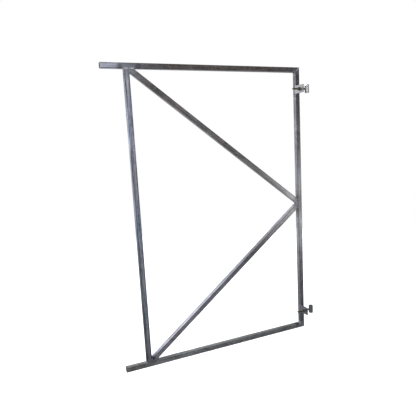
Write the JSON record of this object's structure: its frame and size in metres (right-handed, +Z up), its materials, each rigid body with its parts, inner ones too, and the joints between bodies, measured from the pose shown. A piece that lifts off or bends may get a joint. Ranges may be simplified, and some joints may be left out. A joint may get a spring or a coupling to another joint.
{
  "type": "gate frame",
  "caption": "Welded galvanised square-tube frame for a boarded gate leaf, with diagonal bracing, overhanging rails and adjustable eyebolt hinges on welded lugs.",
  "frame": {"origin": "on the hinge axis, in the plane of the lower eye's bottom face", "axes": "+Z up along the hinge axis, +X from the latch side to the hinge side, +Y from the lugs' side through the frame to its board side"},
  "size_m": [1.257, 0.104, 1.7],
  "materials": {
    "galvanised_tube": "hot-dip galvanised, mottled and streaked",
    "galvanised_plate": "hot-dip galvanised, brighter",
    "passivated_steel": "dark olive zinc passivated thread",
    "bright_zinc": "bright zinc plated"
  },
  "bodies": {
    "frame": {"top_rail": "galvanised_tube", "bottom_rail": "galvanised_tube", "latch_stile": "galvanised_tube", "hinge_stile": "galvanised_tube", "upper_brace": "galvanised_tube", "lower_brace": "galvanised_tube", "upper_hinge_lug": "galvanised_plate", "lower_hinge_lug": "galvanised_plate", "upper_inner_nut": "passivated_steel", "upper_inner_washer": "bright_zinc", "upper_outer_washer": "bright_zinc", "upper_outer_nut": "passivated_steel", "lower_inner_nut": "passivated_steel", "lower_inner_washer": "bright_zinc", "lower_outer_washer": "bright_zinc", "lower_outer_nut": "passivated_steel"},
    "upper_eyebolt": {"upper_eye_shank": "passivated_steel", "upper_eye": "bright_zinc"},
    "lower_eyebolt": {"lower_eye_shank": "passivated_steel", "lower_eye": "bright_zinc"}
  },
  "joints": [
    {"name": "upper_eyebolt_adjust", "type": "slide", "parent": "frame", "child": "upper_eyebolt", "axis": [1, 0, 0], "range_m": [-0.01, 0.025]},
    {"name": "lower_eyebolt_adjust", "type": "slide", "parent": "frame", "child": "lower_eyebolt", "axis": [1, 0, 0], "range_m": [-0.01, 0.025]}
  ]
}
